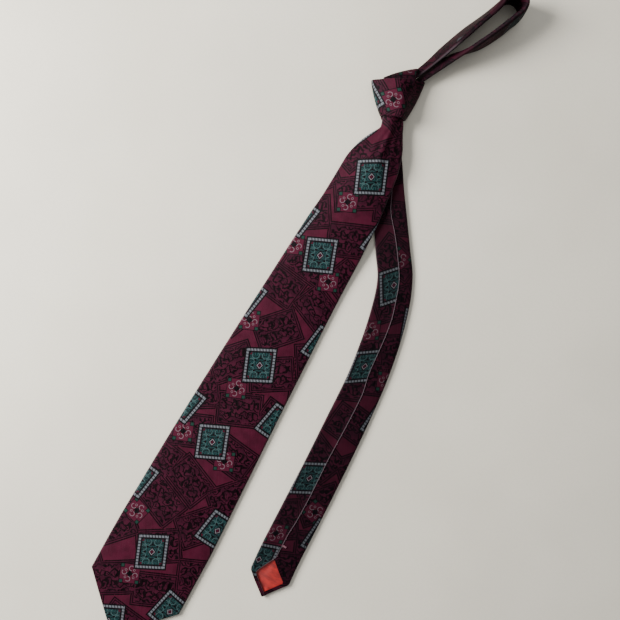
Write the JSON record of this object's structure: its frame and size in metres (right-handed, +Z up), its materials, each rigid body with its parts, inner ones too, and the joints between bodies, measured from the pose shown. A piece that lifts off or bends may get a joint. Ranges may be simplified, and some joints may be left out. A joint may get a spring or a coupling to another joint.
{
  "type": "necktie",
  "caption": "Knotted silk necktie laid flat: a wide pointed front blade, a narrow tail beside it, a four-in-hand knot and a neck loop standing on its edge.",
  "frame": {"origin": "on the knot's flat underside, beneath its lower mouth, on the front blade's centreline", "axes": "+Z up from the surface the tie lies on, +Y up the front blade towards the knot, +X to the right as seen from the front"},
  "size_m": [0.1651, 0.6773, 0.027],
  "materials": {
    "silk": "burgundy jacquard silk with teal and silver medallions, soft sheen",
    "interlining": "brushed wool blend",
    "tipping": "coral satin lining",
    "thread": "twisted silk thread",
    "label": "plain woven satin, blank"
  },
  "bodies": {
    "knot": {"knot_front_band": "silk", "knot_band_interlining": "interlining", "knot_back_pass": "silk", "knot_first_cross": "silk", "knot_tucked_blade": "silk", "knot_over_strip": "silk"},
    "front_blade": {"blade_shell": "silk", "blade_interlining": "interlining", "blade_tipping": "tipping", "blade_slip_stitch": "thread", "blade_bar_tack": "thread", "keeper_loop": "silk", "keeper_tacks": "thread", "care_label": "label"},
    "tail_strap": {"tail_strap": "silk"},
    "tail": {"tail_shell": "silk", "tail_interlining": "interlining", "tail_tipping": "tipping", "tail_slip_stitch": "thread", "tail_bar_tack": "thread"},
    "loop_roots": {"loop_root_left": "silk", "loop_root_right": "silk"},
    "neck_loop": {"neck_shell": "silk", "neck_interlining": "interlining", "neck_slip_stitch": "thread"}
  },
  "joints": [
    {"name": "blade_lift", "type": "hinge", "parent": "knot", "child": "front_blade", "pos_m": [0.003, -0.0095, 0.015], "axis": [-1, 0, 0], "range_deg": [0, 90]},
    {"name": "tail_pull", "type": "slide", "parent": "knot", "child": "tail_strap", "axis": [0.3746, -0.9272, 0], "range_m": [0, 0.02]},
    {"name": "tail_swing", "type": "hinge", "parent": "tail_strap", "child": "tail", "pos_m": [0.00711, -0.01941, 0.004], "axis": [0, 0, 1], "range_deg": [0, 25]},
    {"name": "loop_draw", "type": "slide", "parent": "knot", "child": "loop_roots", "axis": [-0.4147, -0.91, 0], "range_m": [0, 0.01]},
    {"name": "loop_fold", "type": "hinge", "parent": "loop_roots", "child": "neck_loop", "pos_m": [0.0053, 0.0515, 0.0067], "axis": [0.91, -0.4147, 0], "range_deg": [-80, 85]}
  ],
  "couplings": [
    {"joint": "loop_draw", "follows": "tail_pull", "ratio": 0.5}
  ]
}
